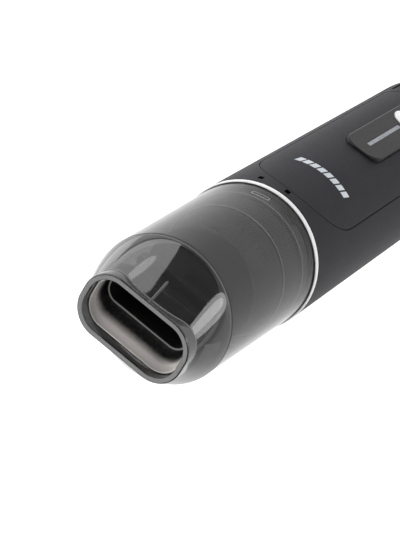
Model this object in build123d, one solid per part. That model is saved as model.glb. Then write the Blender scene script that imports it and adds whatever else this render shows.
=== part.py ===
"""Cylindrical cordless handheld vacuum, standing on its flat rear end.

Millimetres. +Z runs up the axis to the mouth and the control side faces -Y.
The origin is the centre of the resting face.
"""

import os
from math import cos, pi, radians, sin

from build123d import *

# --- Overall sizes ---------------------------------------------------------
body_radius = 36.0
body_length = 220.0          # resting face to the joint with the dust cup
cup_length = 85.0            # joint to the seam with the nozzle
nozzle_length = 25.0         # seam to the mouth plane

# --- Fits ------------------------------------------------------------------
seam_gap = 0.4               # visible line between two outer covers
slip_gap = 0.2               # loose fit between pieces that stay together
run_gap = 0.3                # curved faces that move past each other
pin_gap = 0.05               # radial running fit of pins, plungers and shafts

# --- Body shell, rear cap and top cover ------------------------------------
shell_wall = 2.2
joint_gap = 0.8              # dark line between the body and the trim ring
cap_height = 30.0
cap_floor = 2.8
cap_lip_height = 5.0
cap_lip_wall = 1.6
cap_edge_round = 3.0
cover_half_width = 27.0
cover_nose_length = 33.0     # length of the cover's elliptical front end
cover_setback = 7.7          # joint to the tip of the cover

# --- Exhaust, screws and foot ----------------------------------------------
vent_count = 9
vent_width = 2.4
vent_length = 15.0
vent_low = 8.0
vent_step = 11.0             # degrees between two slots
foam_thickness = 2.0
screw_radius = 1.5
screw_head_radius = 2.8
screw_head_height = 2.0
screw_length = 38.0
screw_angles = (60.0, 120.0)  # both behind the axis, clear of the cover and the vents
boss_radius = 4.4
boss_height = 12.0
boss_bite = 0.3              # how far a boss reaches into the wall beside it
port_surround = 3.0          # wall left behind the charging socket's opening
foot_inset = 11.0            # body's side to the foot's side
foot_edge = 0.4
foot_thickness = 1.6
foot_recess = 1.0

# --- Control pad, light, button and board ----------------------------------
pad_half_width = 10.3
pad_top = 134.3
pad_bottom = 52.0
pad_corner = 8.5
pad_rise = 1.2               # flat top above the shell's highest line
pad_thickness = 5.4
pad_edge = 0.6
groove_width = 2.6
groove_depth = 0.5
light_top = 123.4
light_bottom = 82.2
light_web = 1.6
light_corner = 0.3
button_height = 72.0
button_radius = 7.7
button_rise = 0.7
button_depth = 3.0
button_flange = 0.9
button_travel = 0.8
plunger_radius = 1.75
switch_side = 6.0
switch_depth = 3.6
switch_floor = 0.6
board_thickness = 1.6
board_half_width = 9.5
control_board_setback = 6.8  # shell's inner face to the board's outer face
control_board_low = 58.0
control_board_high = 128.0
post_radius = 2.4
board_screw_radius = 0.9
board_screw_head = 1.8
led_count = 4
led_size = (1.6, 0.9, 2.0)
mark_size = (2.6, 3.4)
mark_depth = 0.5
mark_heights = (5.2, 6.8)    # distances of the two marks from the joint
mark_start = 1.8             # first mark's place, degrees towards +X

# --- Front collar and its joint with the cup -------------------------------
spigot_clearance = 0.5       # cup's wall to the spigot
spigot_length = 10.7
spigot_wall = 3.2
collar_height = 13.0         # part of the collar inside the shell
collar_floor = 3.2
inlet_step = 1.0             # fan inlet's radius below the filter's bore
guard_rib = 1.6
guard_ribs = 6
twist_angle = 24.0
lug_count = 3
lug_angle = 14.0             # first lug's place, from the control side
lug_span = 15.0
lug_height = 2.6
lug_rise = 5.6               # lug's lower face above the joint
lug_depth = 1.1
lug_margin = 1.0             # degrees left at each end of a lug's pocket
collar_seal_radius = 0.9
collar_seal_rise = 3.4

# --- Trim ring, dust cup, seam and nozzle ----------------------------------
trim_height = 2.4
trim_floor = 0.9
trim_band = 0.6
cup_step = 0.9               # body's side down to the cup's side
cup_draft = 1.0              # how much the cup narrows from the joint to the seam
cup_wall = 1.6
seam_height = 1.0
tongue_length = 4.0
tongue_wall = 1.3
nozzle_wall = 1.8
mouth_half_width = 27.6
mouth_half_height = 15.7
mouth_corner = 13.4
mouth_offset = 0.9           # mouth centre lies this far from the axis, away from the controls
rim_wall = 2.7
rim_edge = 0.5
neck_length = 15.0           # depth of the straight neck behind the mouth
dome_power = 1.25            # fullness of the dome's outline
dome_side_inset = 2.4        # dome's end inside the neck, at the sides
dome_back_hollow = 1.0       # how much straighter the dome falls on the side away from the controls
dome_drop_length = 22.5      # seam to where the dome meets the neck, on the control side
dome_sections = 6
key_rib_width = 1.2
key_rib_rise = 0.4
key_rib_length = 10.0

# --- Inlet duct and flap ---------------------------------------------------
duct_setback = 5.0           # mouth plane to the insert's front edge
duct_edge = 0.9
duct_plate_depth = 13.5      # mouth plane to the back of the insert
slot_half_width = 20.8
slot_half_height = 5.7
slot_place = -4.2            # slot centre from the axis
slot_wall = 1.2
slot_lip_setback = 10.0      # mouth plane to the slot's lip
duct_length = 28.0           # mouth plane to the duct's rear end
flap_thickness = 1.2
flap_overlap = 0.6
flap_pin_radius = 0.8
flap_barrel_radius = 1.7
flap_ear_length = 3.0
flap_ear_height = 3.0
flap_hinge_drop = 1.9
flap_web_reach = 2.0         # flap's hinge web past the slot's edge

# --- Filter ----------------------------------------------------------------
filter_seal_height = 1.6
filter_flange_height = 3.0
filter_wall = 1.6
filter_clearance = 1.2       # cup's lugs to the filter's band as the cup comes off
filter_band_height = 15.5
filter_ledge = 2.0
filter_top = 48.0            # joint to the top of the filter's posts
filter_taper = 3.8           # band's side to the front cap's side
screen_step = 1.0            # band's side to the screen's lower edge
screen_wall = 0.8
post_count = 4
post_width = 3.0
post_depth = 0.8
pleat_count = 40
pleat_depth = 5.9
pleat_root = 1.5             # paper left at the foot of a fold
core_gap = 0.9               # core to the pleats
core_window_count = 8
core_window_width = 7.0
core_window_margin = 3.0
cap_thickness = 2.4
tab_height = 4.0
tab_width = 14.0
tab_thickness = 2.4

# --- Motor, fan and battery ------------------------------------------------
fan_housing_height = 22.0
fan_housing_wall = 1.8
fan_floor = 2.4
fan_hole_count = 10
fan_hole_radius = 3.2
motor_radius = 14.0
motor_length = 40.0
motor_neck_radius = 5.0
motor_neck_length = 3.0
mount_thickness = 3.4
mount_height = 6.0
mount_lip = 2.0
mount_squeeze = 0.02         # how far the rubber is left short of its seat
shaft_radius = 1.2
shaft_tail = 4.0
impeller_space = 6.8         # impeller's rim to the fan housing
impeller_height = 9.0
impeller_plate = 1.2
impeller_hub_radius = 5.0
impeller_clearance = 2.0
blade_count = 9
blade_thickness = 1.1
blade_sweep = 50.0
blade_middle = (0.55, 0.28)  # share of the radius and of the sweep at a blade's middle
blade_side = (-0.5, 0.87)    # direction in which a blade has its thickness
blade_edge = 0.5             # blade's tip to the plate's rim
cell_radius = 9.2
cell_length = 65.2
cell_gap = 0.6
cell_bottom = 60.0
cell_place = 3.0             # cells' distance behind the axis
holder_plate = 3.0
holder_margin = 1.6
cell_edge = 0.5
holder_spine = 1.2
holder_fin = 4.0
tab_strip = 0.3
tab_strip_width = 6.0
main_board_setback = 9.8     # shell's inner face to the main board
main_board_low = 13.0
main_board_high = 104.0
port_height = 20.0
port_half_width = 4.5
port_half_height = 1.65
port_shell = 0.35
port_back = 2.0
port_recess = 0.6

# --- Sizes that follow -----------------------------------------------------
seam_height_z = body_length + cup_length
mouth_z = seam_height_z + nozzle_length
shell_inner = body_radius - shell_wall
cup_rear_radius = body_radius - cup_step
seam_radius = cup_rear_radius - cup_draft
spigot_radius = cup_rear_radius - cup_wall - spigot_clearance
lug_inner = cup_rear_radius - cup_wall - lug_depth
screw_place = shell_inner + boss_bite - boss_radius
foot_radius = body_radius - foot_inset
control_board_depth = shell_inner - control_board_setback
main_board_place = shell_inner - main_board_setback
mark_angles = (mark_start, mark_start + twist_angle)
shell_top = body_length - joint_gap
spigot_bore = spigot_radius - spigot_wall
collar_low = body_length - collar_height
collar_floor_top = collar_low + collar_floor
cup_rear_z = body_length + trim_floor
cup_front_z = seam_height_z - seam_height
pad_face = body_radius + pad_rise
button_face = pad_face + button_rise
motor_top = collar_low - impeller_height - 2 * impeller_clearance - motor_neck_length
motor_low = motor_top - motor_length
fan_housing_low = collar_low - fan_housing_height
duct_low = mouth_z - duct_length
housing_inner = shell_inner - slip_gap - fan_housing_wall
impeller_radius = housing_inner - impeller_space
mount_radius = motor_radius + mount_thickness
fan_hole_place = (housing_inner + mount_radius) / 2
filter_low = collar_floor_top + filter_seal_height
filter_step = body_length + spigot_length + run_gap
filter_band_top = filter_step + filter_band_height
filter_top_z = body_length + filter_top
filter_band_radius = lug_inner - filter_clearance
filter_top_radius = filter_band_radius - filter_taper
flange_radius = spigot_bore - run_gap
pleat_outer = filter_top_radius - screen_wall - post_depth - 2 * slip_gap
pleat_inner = pleat_outer - pleat_depth
core_radius = pleat_inner - core_gap
filter_bore = core_radius - filter_wall
fan_inlet_radius = filter_bore - inlet_step
flap_axis_y = slot_place - slot_half_height - slot_wall - flap_barrel_radius
flap_axis_z = duct_low - flap_hinge_drop

STAND = (Align.CENTER, Align.CENTER, Align.MIN)
parts = {}


def rod(radius, low, high, x=0.0, y=0.0):
    """A round bar along Z."""
    return Pos(x, y, low) * Cylinder(radius, high - low, align=STAND)


def tube(outer, inner, low, high):
    """A round tube along Z."""
    return rod(outer, low, high) - rod(inner, low - 1, high + 1)


def cone(low_radius, high_radius, low, high):
    """A round bar along Z that tapers."""
    return Pos(0, 0, low) * Cone(low_radius, high_radius, high - low, align=STAND)


def block(x, y, z):
    """A box given by its low and high value on each axis."""
    centre = ((x[0] + x[1]) / 2, (y[0] + y[1]) / 2, (z[0] + z[1]) / 2)
    return Pos(*centre) * Box(x[1] - x[0], y[1] - y[0], z[1] - z[0])


def bar_y(radius, x, z, y):
    """A round bar along Y between the two values of y."""
    middle = (y[0] + y[1]) / 2
    return Pos(x, middle, z) * Rot(90, 0, 0) * Cylinder(radius, y[1] - y[0])


def bar_x(radius, y, z, x):
    """A round bar along X between the two values of x."""
    middle = (x[0] + x[1]) / 2
    return Pos(middle, y, z) * Rot(0, 90, 0) * Cylinder(radius, x[1] - x[0])


def at_front(shape, angle):
    """The shape, made on the control side, turned about the axis towards +X."""
    return Rot(0, 0, angle) * shape


def around(shape, count, start=0.0):
    """Copies of the shape, evenly spaced about the axis."""
    return [Rot(0, 0, start + i * 360 / count) * shape for i in range(count)]


def prism(half_width, half_height, corner, low, high, y=0.0):
    """A rounded rectangle in XY, carried along Z."""
    outline = RectangleRounded(2 * half_width, 2 * half_height, corner)
    return Pos(0, y, low) * extrude(outline, high - low)


def front_slab(outline, near, far):
    """An outline drawn in XZ, carried from y = -near out to y = -far."""
    plane = Plane(origin=(0, -near, 0), x_dir=(1, 0, 0), z_dir=(0, -1, 0))
    return extrude(plane * outline, far - near)


# --- Body covers -----------------------------------------------------------
def cover_outline(gap):
    """Straight sides and a half-ellipse at the front, drawn in from the cover's edge by gap."""
    half = cover_half_width - gap
    bottom = cap_height + seam_gap + gap
    shoulder = body_length - cover_setback - cover_nose_length
    nose = Pos(0, shoulder) * Ellipse(half, cover_nose_length - gap)
    return nose + Pos(0, (bottom + shoulder) / 2) * Rectangle(2 * half, shoulder - bottom)


def body_shell():
    shell = tube(body_radius, shell_inner, cap_height + seam_gap, shell_top)
    reach = 2 * body_radius
    window = cover_outline(0) + Pos(0, cap_height) * Rectangle(2 * cover_half_width, 4)
    shell -= front_slab(window, 1, reach)
    boss_low = cap_height + cap_lip_height + seam_gap
    boss_high = boss_low + boss_height
    for x, y in screw_places():
        boss = rod(boss_radius, boss_low, boss_high, x, y)
        shell += boss & rod(body_radius - shell_wall / 2, boss_low, boss_high)
        shell -= rod(screw_radius, boss_low - 1, boss_high + 1, x, y)
    for height, angle in zip(mark_heights, mark_angles):
        shell -= at_front(mark_block(height, body_radius + 1), angle)
    return shell


def mark_block(height, outer):
    """The pocket or inlay of one lock mark."""
    middle = body_length - height
    width, length = mark_size
    low = body_radius - mark_depth
    return block((-width / 2, width / 2), (-outer, -low), (middle - length / 2, middle + length / 2))


def lock_marks():
    skin = rod(body_radius, 0, body_length)
    inlays = []
    for height, angle in zip(mark_heights, mark_angles):
        inlays.append(at_front(mark_block(height, body_radius + 1) & skin, angle))
    return Compound(inlays)


def top_cover():
    shell = tube(body_radius, shell_inner, 0, body_length)
    cover = shell & front_slab(cover_outline(seam_gap), 1, 2 * body_radius)
    for z in post_heights():
        cover += bar_y(post_radius, 0, z, (-shell_inner - shell_wall / 2, -control_board_depth))
        cover -= bar_y(board_screw_radius, 0, z, (-shell_inner, -control_board_depth + 1))
    cover -= front_slab(pad_outline(-slip_gap), control_board_depth + board_thickness, 2 * body_radius)
    return cover


def post_heights():
    """The two board posts stand just outside the pad."""
    return (control_board_low - 3 * post_radius, pad_top + 2.5 * post_radius)


def pad_outline(inset):
    middle = (pad_top + pad_bottom) / 2
    width = 2 * (pad_half_width - inset)
    length = pad_top - pad_bottom - 2 * inset
    return Pos(0, middle) * RectangleRounded(width, length, pad_corner - inset)


def light_outline(half_width):
    """A bar of that half width, drawn in evenly from the groove's outline."""
    middle = (light_top + light_bottom) / 2
    length = light_top - light_bottom - groove_width + 2 * half_width
    return Pos(0, middle) * RectangleRounded(2 * half_width, length, light_corner)


def control_pad():
    pad = front_slab(pad_outline(0), pad_face - pad_thickness, pad_face)
    pad = chamfer(pad.faces().sort_by(Axis.Y)[0].edges(), pad_edge)
    pad -= front_slab(light_outline(groove_width / 2), pad_face - groove_depth, pad_face + 1)
    web = light_web / 2 + slip_gap
    pad -= front_slab(light_outline(web), pad_face - pad_thickness - 1, pad_face)
    pad -= bar_y(button_radius + run_gap, 0, button_height, (-pad_face - 1, -pad_face + button_depth))
    inner = pad_face - pad_thickness
    flange = button_radius + button_flange + run_gap
    pad -= bar_y(flange, 0, button_height, (-pad_face + button_depth - 0.01, -inner + 1))
    return pad


def light_strip():
    top = pad_face - groove_depth
    strip = front_slab(light_outline(light_web / 2), pad_face - pad_thickness, top)
    return strip + front_slab(light_outline(groove_width / 2 - slip_gap), top, top + groove_depth / 2)


def power_button():
    flange_top = pad_face - button_depth - slip_gap
    cap = bar_y(button_radius, 0, button_height, (-button_face, -flange_top))
    cap = chamfer(cap.faces().sort_by(Axis.Y)[0].edges(), button_rise / 2)
    flange = button_radius + button_flange
    cap += bar_y(flange, 0, button_height, (-flange_top, -flange_top + button_flange))
    return cap


def switch_plunger():
    """A pin under the button that reaches into the switch, clear of its floor when pressed."""
    outer = pad_face - button_depth - slip_gap - button_flange
    inner = control_board_depth + switch_floor + button_travel + slip_gap
    return bar_y(plunger_radius, 0, button_height, (-outer, -inner))


def tact_switch():
    half = switch_side / 2
    face = control_board_depth + switch_depth
    z = (button_height - half, button_height + half)
    case = block((-half, half), (-face, -control_board_depth), z)
    bore = plunger_radius + pin_gap
    return case - bar_y(bore, 0, button_height, (-face - 1, -control_board_depth - switch_floor))


def control_board():
    low, high = post_heights()
    y = (-control_board_depth, -control_board_depth + board_thickness)
    margin = 2 * post_radius
    board = block((-board_half_width, board_half_width), y, (low - margin, high + margin))
    for z in (low, high):
        board -= bar_y(board_screw_radius + slip_gap, 0, z, (y[0] - 1, y[1] + 1))
    return board


def board_screws():
    seat = -control_board_depth + board_thickness
    screws = []
    for z in post_heights():
        shank = bar_y(board_screw_radius, 0, z, (-shell_inner + 1, seat))
        screws.append(shank + bar_y(board_screw_head, 0, z, (seat, seat + board_screw_radius)))
    return Compound(screws)


def status_leds():
    wide, thick, tall = led_size
    pitch = (light_top - light_bottom) / led_count
    leds = []
    for i in range(led_count):
        z = light_bottom + (i + 0.5) * pitch
        y = (-control_board_depth - thick, -control_board_depth)
        leds.append(block((-wide / 2, wide / 2), y, (z - tall / 2, z + tall / 2)))
    return Compound(leds)


# --- Rear end --------------------------------------------------------------
def screw_places():
    return [(screw_place * cos(radians(a)), screw_place * sin(radians(a))) for a in screw_angles]


def rear_cap():
    cap = rod(body_radius, foot_thickness - foot_recess, cap_height)
    rounded = cap.faces().sort_by(Axis.Z)[0].edges()
    cap = fillet(rounded, cap_edge_round)
    floor_top = foot_thickness - foot_recess + cap_floor
    cap -= rod(shell_inner, floor_top, cap_height + 1)
    lip_radius = shell_inner - slip_gap
    lip_low = cap_height - cap_lip_height
    lip = tube(lip_radius, lip_radius - cap_lip_wall, lip_low, cap_height + cap_lip_height)
    seat = tube(shell_inner + shell_wall / 2, lip_radius - cap_lip_wall, lip_low, cap_height)
    cap += lip + seat
    top = cap_height + cap_lip_height
    for x, y in screw_places():
        cap += rod(boss_radius, floor_top, cap_height, x, y) & rod(shell_inner + shell_wall / 2, 0, top)
        cap += rod(boss_radius, lip_low, top, x, y) & rod(lip_radius - cap_lip_wall / 2, 0, top)
        cap -= rod(screw_radius + slip_gap, 0, top + 1, x, y)
        cap -= rod(screw_head_radius + slip_gap, 0, floor_top + screw_head_height, x, y)
    for slot in vent_slots():
        cap -= slot
    cap -= rod(foot_radius + slip_gap, 0, foot_thickness)
    half_width = port_half_width + slip_gap
    half_height = port_half_height + slip_gap
    opening = Rectangle(2 * half_width, 2 * half_height)
    opening = fillet(opening.vertices(), half_height - 0.01)
    plane = Plane(origin=(0, shell_inner - port_surround, port_height), x_dir=(1, 0, 0), z_dir=(0, 1, 0))
    return cap - extrude(plane * opening, 10)


def vent_slots():
    """Two banks of upright slots with round ends, to the left and the right."""
    slots = []
    for side in (0, 180):
        for i in range(vent_count):
            angle = side + (i - (vent_count - 1) / 2) * vent_step
            outline = SlotOverall(vent_length, vent_width)
            plane = Plane(origin=(0, 0, 0), x_dir=(0, 0, 1), z_dir=(1, 0, 0))
            slot = extrude(plane * outline, 2 * body_radius)
            slot = slot & rod(2 * body_radius, -body_radius, body_radius)
            slots.append(Rot(0, 0, angle) * Pos(shell_inner - 1, 0, vent_low + vent_length / 2) * slot)
    return slots


def exhaust_foam():
    low = foot_thickness - foot_recess + cap_floor + slip_gap
    outer = shell_inner - slip_gap
    high = cap_height - cap_lip_height - slip_gap
    foam = tube(outer, outer - foam_thickness, low, high)
    for x, y in screw_places():
        foam -= rod(boss_radius + slip_gap, 0, cap_height, x, y)
    reach = port_half_width + 2
    foam -= block((-reach, reach), (0, body_radius), (0, cap_height))
    return Compound(foam.solids())


def cap_screws():
    seat = foot_thickness - foot_recess + cap_floor + screw_head_height
    low = seat - screw_head_height
    screws = []
    for x, y in screw_places():
        head = rod(screw_head_radius, low, seat, x, y)
        recess = rod(screw_head_radius / 2, low - 1, low + screw_head_height / 2, x, y)
        shank = rod(screw_radius - pin_gap / 2, seat, seat + screw_length, x, y)
        screws.append(head - recess + shank)
    return Compound(screws)


def base_pad():
    pad = rod(foot_radius, 0, foot_thickness)
    return chamfer(pad.faces().sort_by(Axis.Z)[0].edges(), foot_edge)


# --- Collar, fan, motor ----------------------------------------------------
def front_collar():
    """The bulkhead that carries the filter, with the spigot that the cup locks on."""
    inner_step = shell_inner - slip_gap
    collar = tube(inner_step, spigot_bore, collar_low, shell_top)
    collar += tube(spigot_radius, spigot_bore, collar_low, body_length + spigot_length)
    floor = tube(spigot_bore + 1, fan_inlet_radius, collar_low, collar_floor_top)
    collar += floor
    hub = rod(2 * guard_rib, collar_low, collar_low + guard_rib)
    half_rib = guard_rib / 2
    rib = block((0, fan_inlet_radius + 1), (-half_rib, half_rib), (collar_low, collar_low + guard_rib))
    for piece in around(rib, guard_ribs):
        hub += piece
    collar += hub
    for track in lug_tracks():
        collar -= track
    groove_z = body_length + collar_seal_rise
    groove = Pos(0, 0, groove_z) * Torus(spigot_radius, collar_seal_radius + slip_gap)
    return collar - groove


def lug_block(span, inner, low, high):
    """Part of a ring from the middle of the cup's wall in to a radius, over a span in degrees."""
    outer = cup_rear_radius - cup_wall / 2
    wedge = sector(outer, span) - Circle(inner)
    return Pos(0, 0, low) * extrude(wedge, high - low)


def sector(radius, span):
    """A flat sector about the control side."""
    half = radians(span / 2)
    reach = 2 * radius
    corner = (reach * sin(half), -reach * cos(half))
    triangle = Polygon((0, 0), (-corner[0], corner[1]), corner, align=None)
    return triangle & Circle(radius)


def lug_places():
    """Angles of the cup's lugs; the first lies beside the first mark, towards -X."""
    return [-lug_angle + i * 360 / lug_count for i in range(lug_count)]


def lug_tracks():
    """Pockets in the spigot, open to the front over the whole twist."""
    low = body_length + lug_rise - run_gap
    high = body_length + spigot_length + 1
    track = lug_block(lug_span + twist_angle + 2 * lug_margin, lug_inner - run_gap, low, high)
    return [Rot(0, 0, place + twist_angle / 2) * track for place in lug_places()]


def collar_seal():
    """A round cord in the spigot's groove."""
    seal = Pos(0, 0, body_length + collar_seal_rise) * Torus(spigot_radius - slip_gap, collar_seal_radius)
    return seal & rod(spigot_radius + slip_gap, 0, 2 * body_length)


def fan_housing():
    outer = shell_inner - slip_gap
    housing = tube(outer, housing_inner, fan_housing_low, collar_low)
    floor = rod(outer, fan_housing_low, fan_housing_low + fan_floor)
    floor -= rod(mount_radius, 0, body_length)
    housing += floor
    hole = rod(fan_hole_radius, fan_housing_low - 1, fan_housing_low + fan_floor + 1, fan_hole_place)
    for piece in around(hole, fan_hole_count):
        housing -= piece
    return housing


def motor_mount():
    """A rubber sleeve between the motor and the fan housing, with a lip on its floor."""
    low = fan_housing_low - mount_height / 2
    sleeve = tube(mount_radius - mount_squeeze, motor_radius, low, low + mount_height)
    return sleeve + tube(mount_radius + mount_lip, motor_radius, low, fan_housing_low)


def motor_can():
    can = rod(motor_radius, motor_low, motor_top)
    can = chamfer(can.faces().sort_by(Axis.Z)[0].edges(), 1.0)
    can += rod(motor_neck_radius, motor_top, motor_top + motor_neck_length)
    can += rod(motor_neck_radius, motor_low - motor_neck_length, motor_low)
    return can - rod(shaft_radius + pin_gap, 0, body_length)


def motor_shaft():
    low = motor_low - motor_neck_length - shaft_tail
    high = motor_top + motor_neck_length + impeller_clearance + impeller_height
    return rod(shaft_radius, low, high)


def impeller():
    low = motor_top + motor_neck_length + impeller_clearance
    high = low + impeller_height
    wheel = rod(impeller_radius, low, low + impeller_plate)
    wheel += rod(impeller_hub_radius, low, high)
    outline = blade_outline()
    blade = Pos(0, 0, low) * extrude(outline, impeller_height)
    for piece in around(blade, blade_count):
        wheel += piece
    return wheel - rod(shaft_radius + 0.01, low - 1, high + 1)


def blade_outline():
    """One backward-swept blade: a band along an arc from the hub to the rim."""
    start = (impeller_hub_radius - 1, 0)
    turn = radians(blade_sweep)
    tip_radius = impeller_radius - blade_edge
    tip = (tip_radius * cos(turn), tip_radius * sin(turn))
    middle_radius = impeller_radius * blade_middle[0]
    middle_turn = turn * blade_middle[1]
    middle = (middle_radius * cos(middle_turn), middle_radius * sin(middle_turn))
    spine = ThreePointArc(start, middle, tip)
    back = offset_arc(start, middle, tip, blade_thickness)
    edges = [spine, Line(tip, back @ 1), back, Line(back @ 0, start)]
    return make_face(edges)


def offset_arc(start, middle, tip, distance):
    """The same arc moved by distance to the blade's other side."""
    moved = []
    for x, y in (start, middle, tip):
        moved.append((x + distance * blade_side[0], y + distance * blade_side[1]))
    return ThreePointArc(*moved)


# --- Battery and boards ----------------------------------------------------
def cell_centres():
    return [side * (cell_radius + cell_gap / 2) for side in (-1, 1)]


def battery_cells():
    cells = []
    for x in cell_centres():
        cell = rod(cell_radius, cell_bottom, cell_bottom + cell_length, x, cell_place)
        cells.append(chamfer(cell.edges().filter_by(GeomType.CIRCLE), cell_edge))
    return Compound(cells)


def holder_end(low):
    half_width = 2 * cell_radius + cell_gap / 2 + holder_margin
    half_height = cell_radius + holder_margin
    return prism(half_width, half_height, cell_radius, low, low + holder_plate, cell_place)


def battery_holder():
    """Two end plates with side fins to the shell, joined by a spine that carries the main board."""
    low = cell_bottom - tab_strip - holder_plate
    high = cell_bottom + cell_length + tab_strip
    top = high + holder_plate
    back = cell_place + cell_radius + holder_margin
    holder = holder_end(low) + holder_end(high)
    spine_y = (back - holder_spine, back + holder_plate)
    holder += block((-2 * holder_plate, 2 * holder_plate), spine_y, (low, top))
    for z in (low + 2 * holder_plate, main_board_high - 2 * holder_plate):
        holder += bar_y(post_radius, 0, z, (back, main_board_place))
    skin = rod(shell_inner - slip_gap, low, top)
    fin_y = (cell_place - holder_fin, cell_place + holder_fin)
    for z in (low, high):
        fin = block((-body_radius, body_radius), fin_y, (z, z + holder_plate))
        holder += fin & skin
    return holder


def cell_tabs():
    """A link across the cells' upper ends and one tab on each lower end."""
    reach = cell_centres()[1] + tab_strip_width / 2
    half = tab_strip_width / 2
    y = (cell_place - half, cell_place + half)
    top = cell_bottom + cell_length
    tabs = [block((-reach, reach), y, (top, top + tab_strip))]
    for x in cell_centres():
        tabs.append(block((x - half, x + half), y, (cell_bottom - tab_strip, cell_bottom)))
    return Compound(tabs)


def main_board():
    y = (main_board_place, main_board_place + board_thickness)
    return block((-board_half_width, board_half_width), y, (main_board_low, main_board_high))


def charge_port():
    """An upright socket on the main board, flush with the rear cap's back."""
    outline = Rectangle(2 * port_half_width, 2 * port_half_height)
    outline = fillet(outline.vertices(), port_half_height - 0.01)
    hole = Rectangle(2 * (port_half_width - port_shell), 2 * (port_half_height - port_shell))
    hole = fillet(hole.vertices(), port_half_height - port_shell - 0.01)
    base = main_board_place + board_thickness
    front = body_radius - port_recess
    plane = Plane(origin=(0, base, port_height), x_dir=(1, 0, 0), z_dir=(0, 1, 0))
    inner = Plane(origin=(0, base + port_back, port_height), x_dir=(1, 0, 0), z_dir=(0, 1, 0))
    socket = extrude(plane * outline, front - base) - extrude(inner * hole, front - base)
    tongue = Rectangle(2 * (port_half_width - 4 * port_shell), 2 * port_shell)
    return socket + extrude(plane * tongue, front - base - port_back)


# --- Cup group -------------------------------------------------------------
def trim_ring():
    inner = spigot_radius + run_gap
    ring = tube(body_radius, inner, body_length, body_length + trim_floor)
    band = tube(body_radius, body_radius - trim_band, body_length, body_length + trim_height)
    ring += band
    rim = ring.faces().sort_by(Axis.Z)[-1].edges().sort_by(SortBy.LENGTH)[-1]
    return chamfer(rim, trim_band / 2)


def cup_radius(z):
    """Outer radius of the cup's straight taper at height z."""
    share = (z - cup_rear_z) / (seam_height_z - cup_rear_z)
    return cup_rear_radius + (seam_radius - cup_rear_radius) * share


def dust_cup():
    low, high = cup_rear_z, cup_front_z
    outer = cone(cup_radius(low), cup_radius(high), low, high)
    inner = cone(cup_radius(low - 1) - cup_wall, cup_radius(high + 1) - cup_wall, low - 1, high + 1)
    cup = outer - inner
    foot = body_length + lug_rise
    lug = lug_block(lug_span, lug_inner, foot, foot + lug_height)
    for place in lug_places():
        cup += Rot(0, 0, place) * lug
    return cup


def seam_seal():
    low = cup_front_z + seam_gap / 4
    high = seam_height_z - seam_gap / 4
    inner = seam_radius - cup_wall
    return tube(seam_radius - seam_gap, inner, low, high)


def dome_size(height, shrink):
    """Half width, half height and centre of the dome's oval at a height above the seam."""
    share = height / nozzle_length
    hollow = 2 * dome_back_hollow * share * (1 - share)
    side_drop = seam_radius - mouth_half_width + dome_side_inset
    face_drop = seam_radius - mouth_half_height
    half_width = seam_radius - side_drop * share ** dome_power
    half_height = seam_radius - face_drop * (height / dome_drop_length) ** dome_power
    centre = mouth_offset * share * share - hollow
    return half_width - shrink, half_height - hollow - shrink, centre


def dome(shrink):
    """Ovals stacked from the round seam to the mouth plane, joined by one smooth skin."""
    ovals = []
    for i in range(dome_sections + 1):
        height = nozzle_length * i / dome_sections
        half_width, half_height, centre = dome_size(height, shrink)
        place = Pos(0, centre, seam_height_z + height)
        ovals.append(place * Ellipse(half_width, half_height))
    return loft(ovals)


def neck(inset, low, high):
    """The rounded rectangle of the mouth, drawn in by inset."""
    half_width = mouth_half_width - inset
    half_height = mouth_half_height - inset
    return prism(half_width, half_height, mouth_corner - inset, low, high, mouth_offset)


def nozzle():
    body = dome(0)
    outer_neck = neck(0, mouth_z - neck_length, mouth_z)
    outer_neck = chamfer(outer_neck.faces().sort_by(Axis.Z)[-1].edges(), rim_edge)
    rib_low = mouth_z - key_rib_length
    half_rib = key_rib_width / 2
    slab = block((-half_rib, half_rib), (-seam_radius, 0), (rib_low, mouth_z - rim_edge))
    body += dome(-key_rib_rise) & slab
    body -= dome(nozzle_wall)
    body += outer_neck
    tongue_outer = seam_radius - cup_wall - slip_gap
    tongue_inner = tongue_outer - tongue_wall
    body += tube(tongue_outer, tongue_inner, seam_height_z - tongue_length, seam_height_z)
    body += tube(seam_radius - nozzle_wall / 2, tongue_inner, seam_height_z, seam_height_z + 2)
    return body - neck(rim_wall, mouth_z - neck_length - 1, mouth_z + 1)


def slot_prism(grow, low, high):
    """The inlet slot, widened by grow on every side."""
    half_width = slot_half_width + grow
    half_height = slot_half_height + grow
    return prism(half_width, half_height, half_height - 0.01, low, high, slot_place)


def inlet_duct():
    front = mouth_z - duct_setback
    back = mouth_z - duct_plate_depth
    inset = rim_wall + slip_gap
    plug = neck(inset, back, front)
    half_width = mouth_half_width - inset - duct_edge
    half_height = mouth_half_height - inset - duct_edge
    corner = mouth_corner - inset - duct_edge
    wide = Pos(0, mouth_offset, front + 0.01) * RectangleRounded(2 * half_width, 2 * half_height, corner)
    low_half = slot_half_height + slot_wall
    low_width = slot_half_width + slot_wall
    narrow = Pos(0, slot_place, back + 2) * RectangleRounded(2 * low_width, 2 * low_half, low_half - 0.3)
    plug -= loft([narrow, wide])
    tube_top = mouth_z - slot_lip_setback
    duct = plug + slot_prism(slot_wall, duct_low, tube_top)
    for side in (-1, 1):
        duct += flap_ear(side)
    duct -= slot_prism(0, duct_low - 1, front + 1)
    return duct


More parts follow.
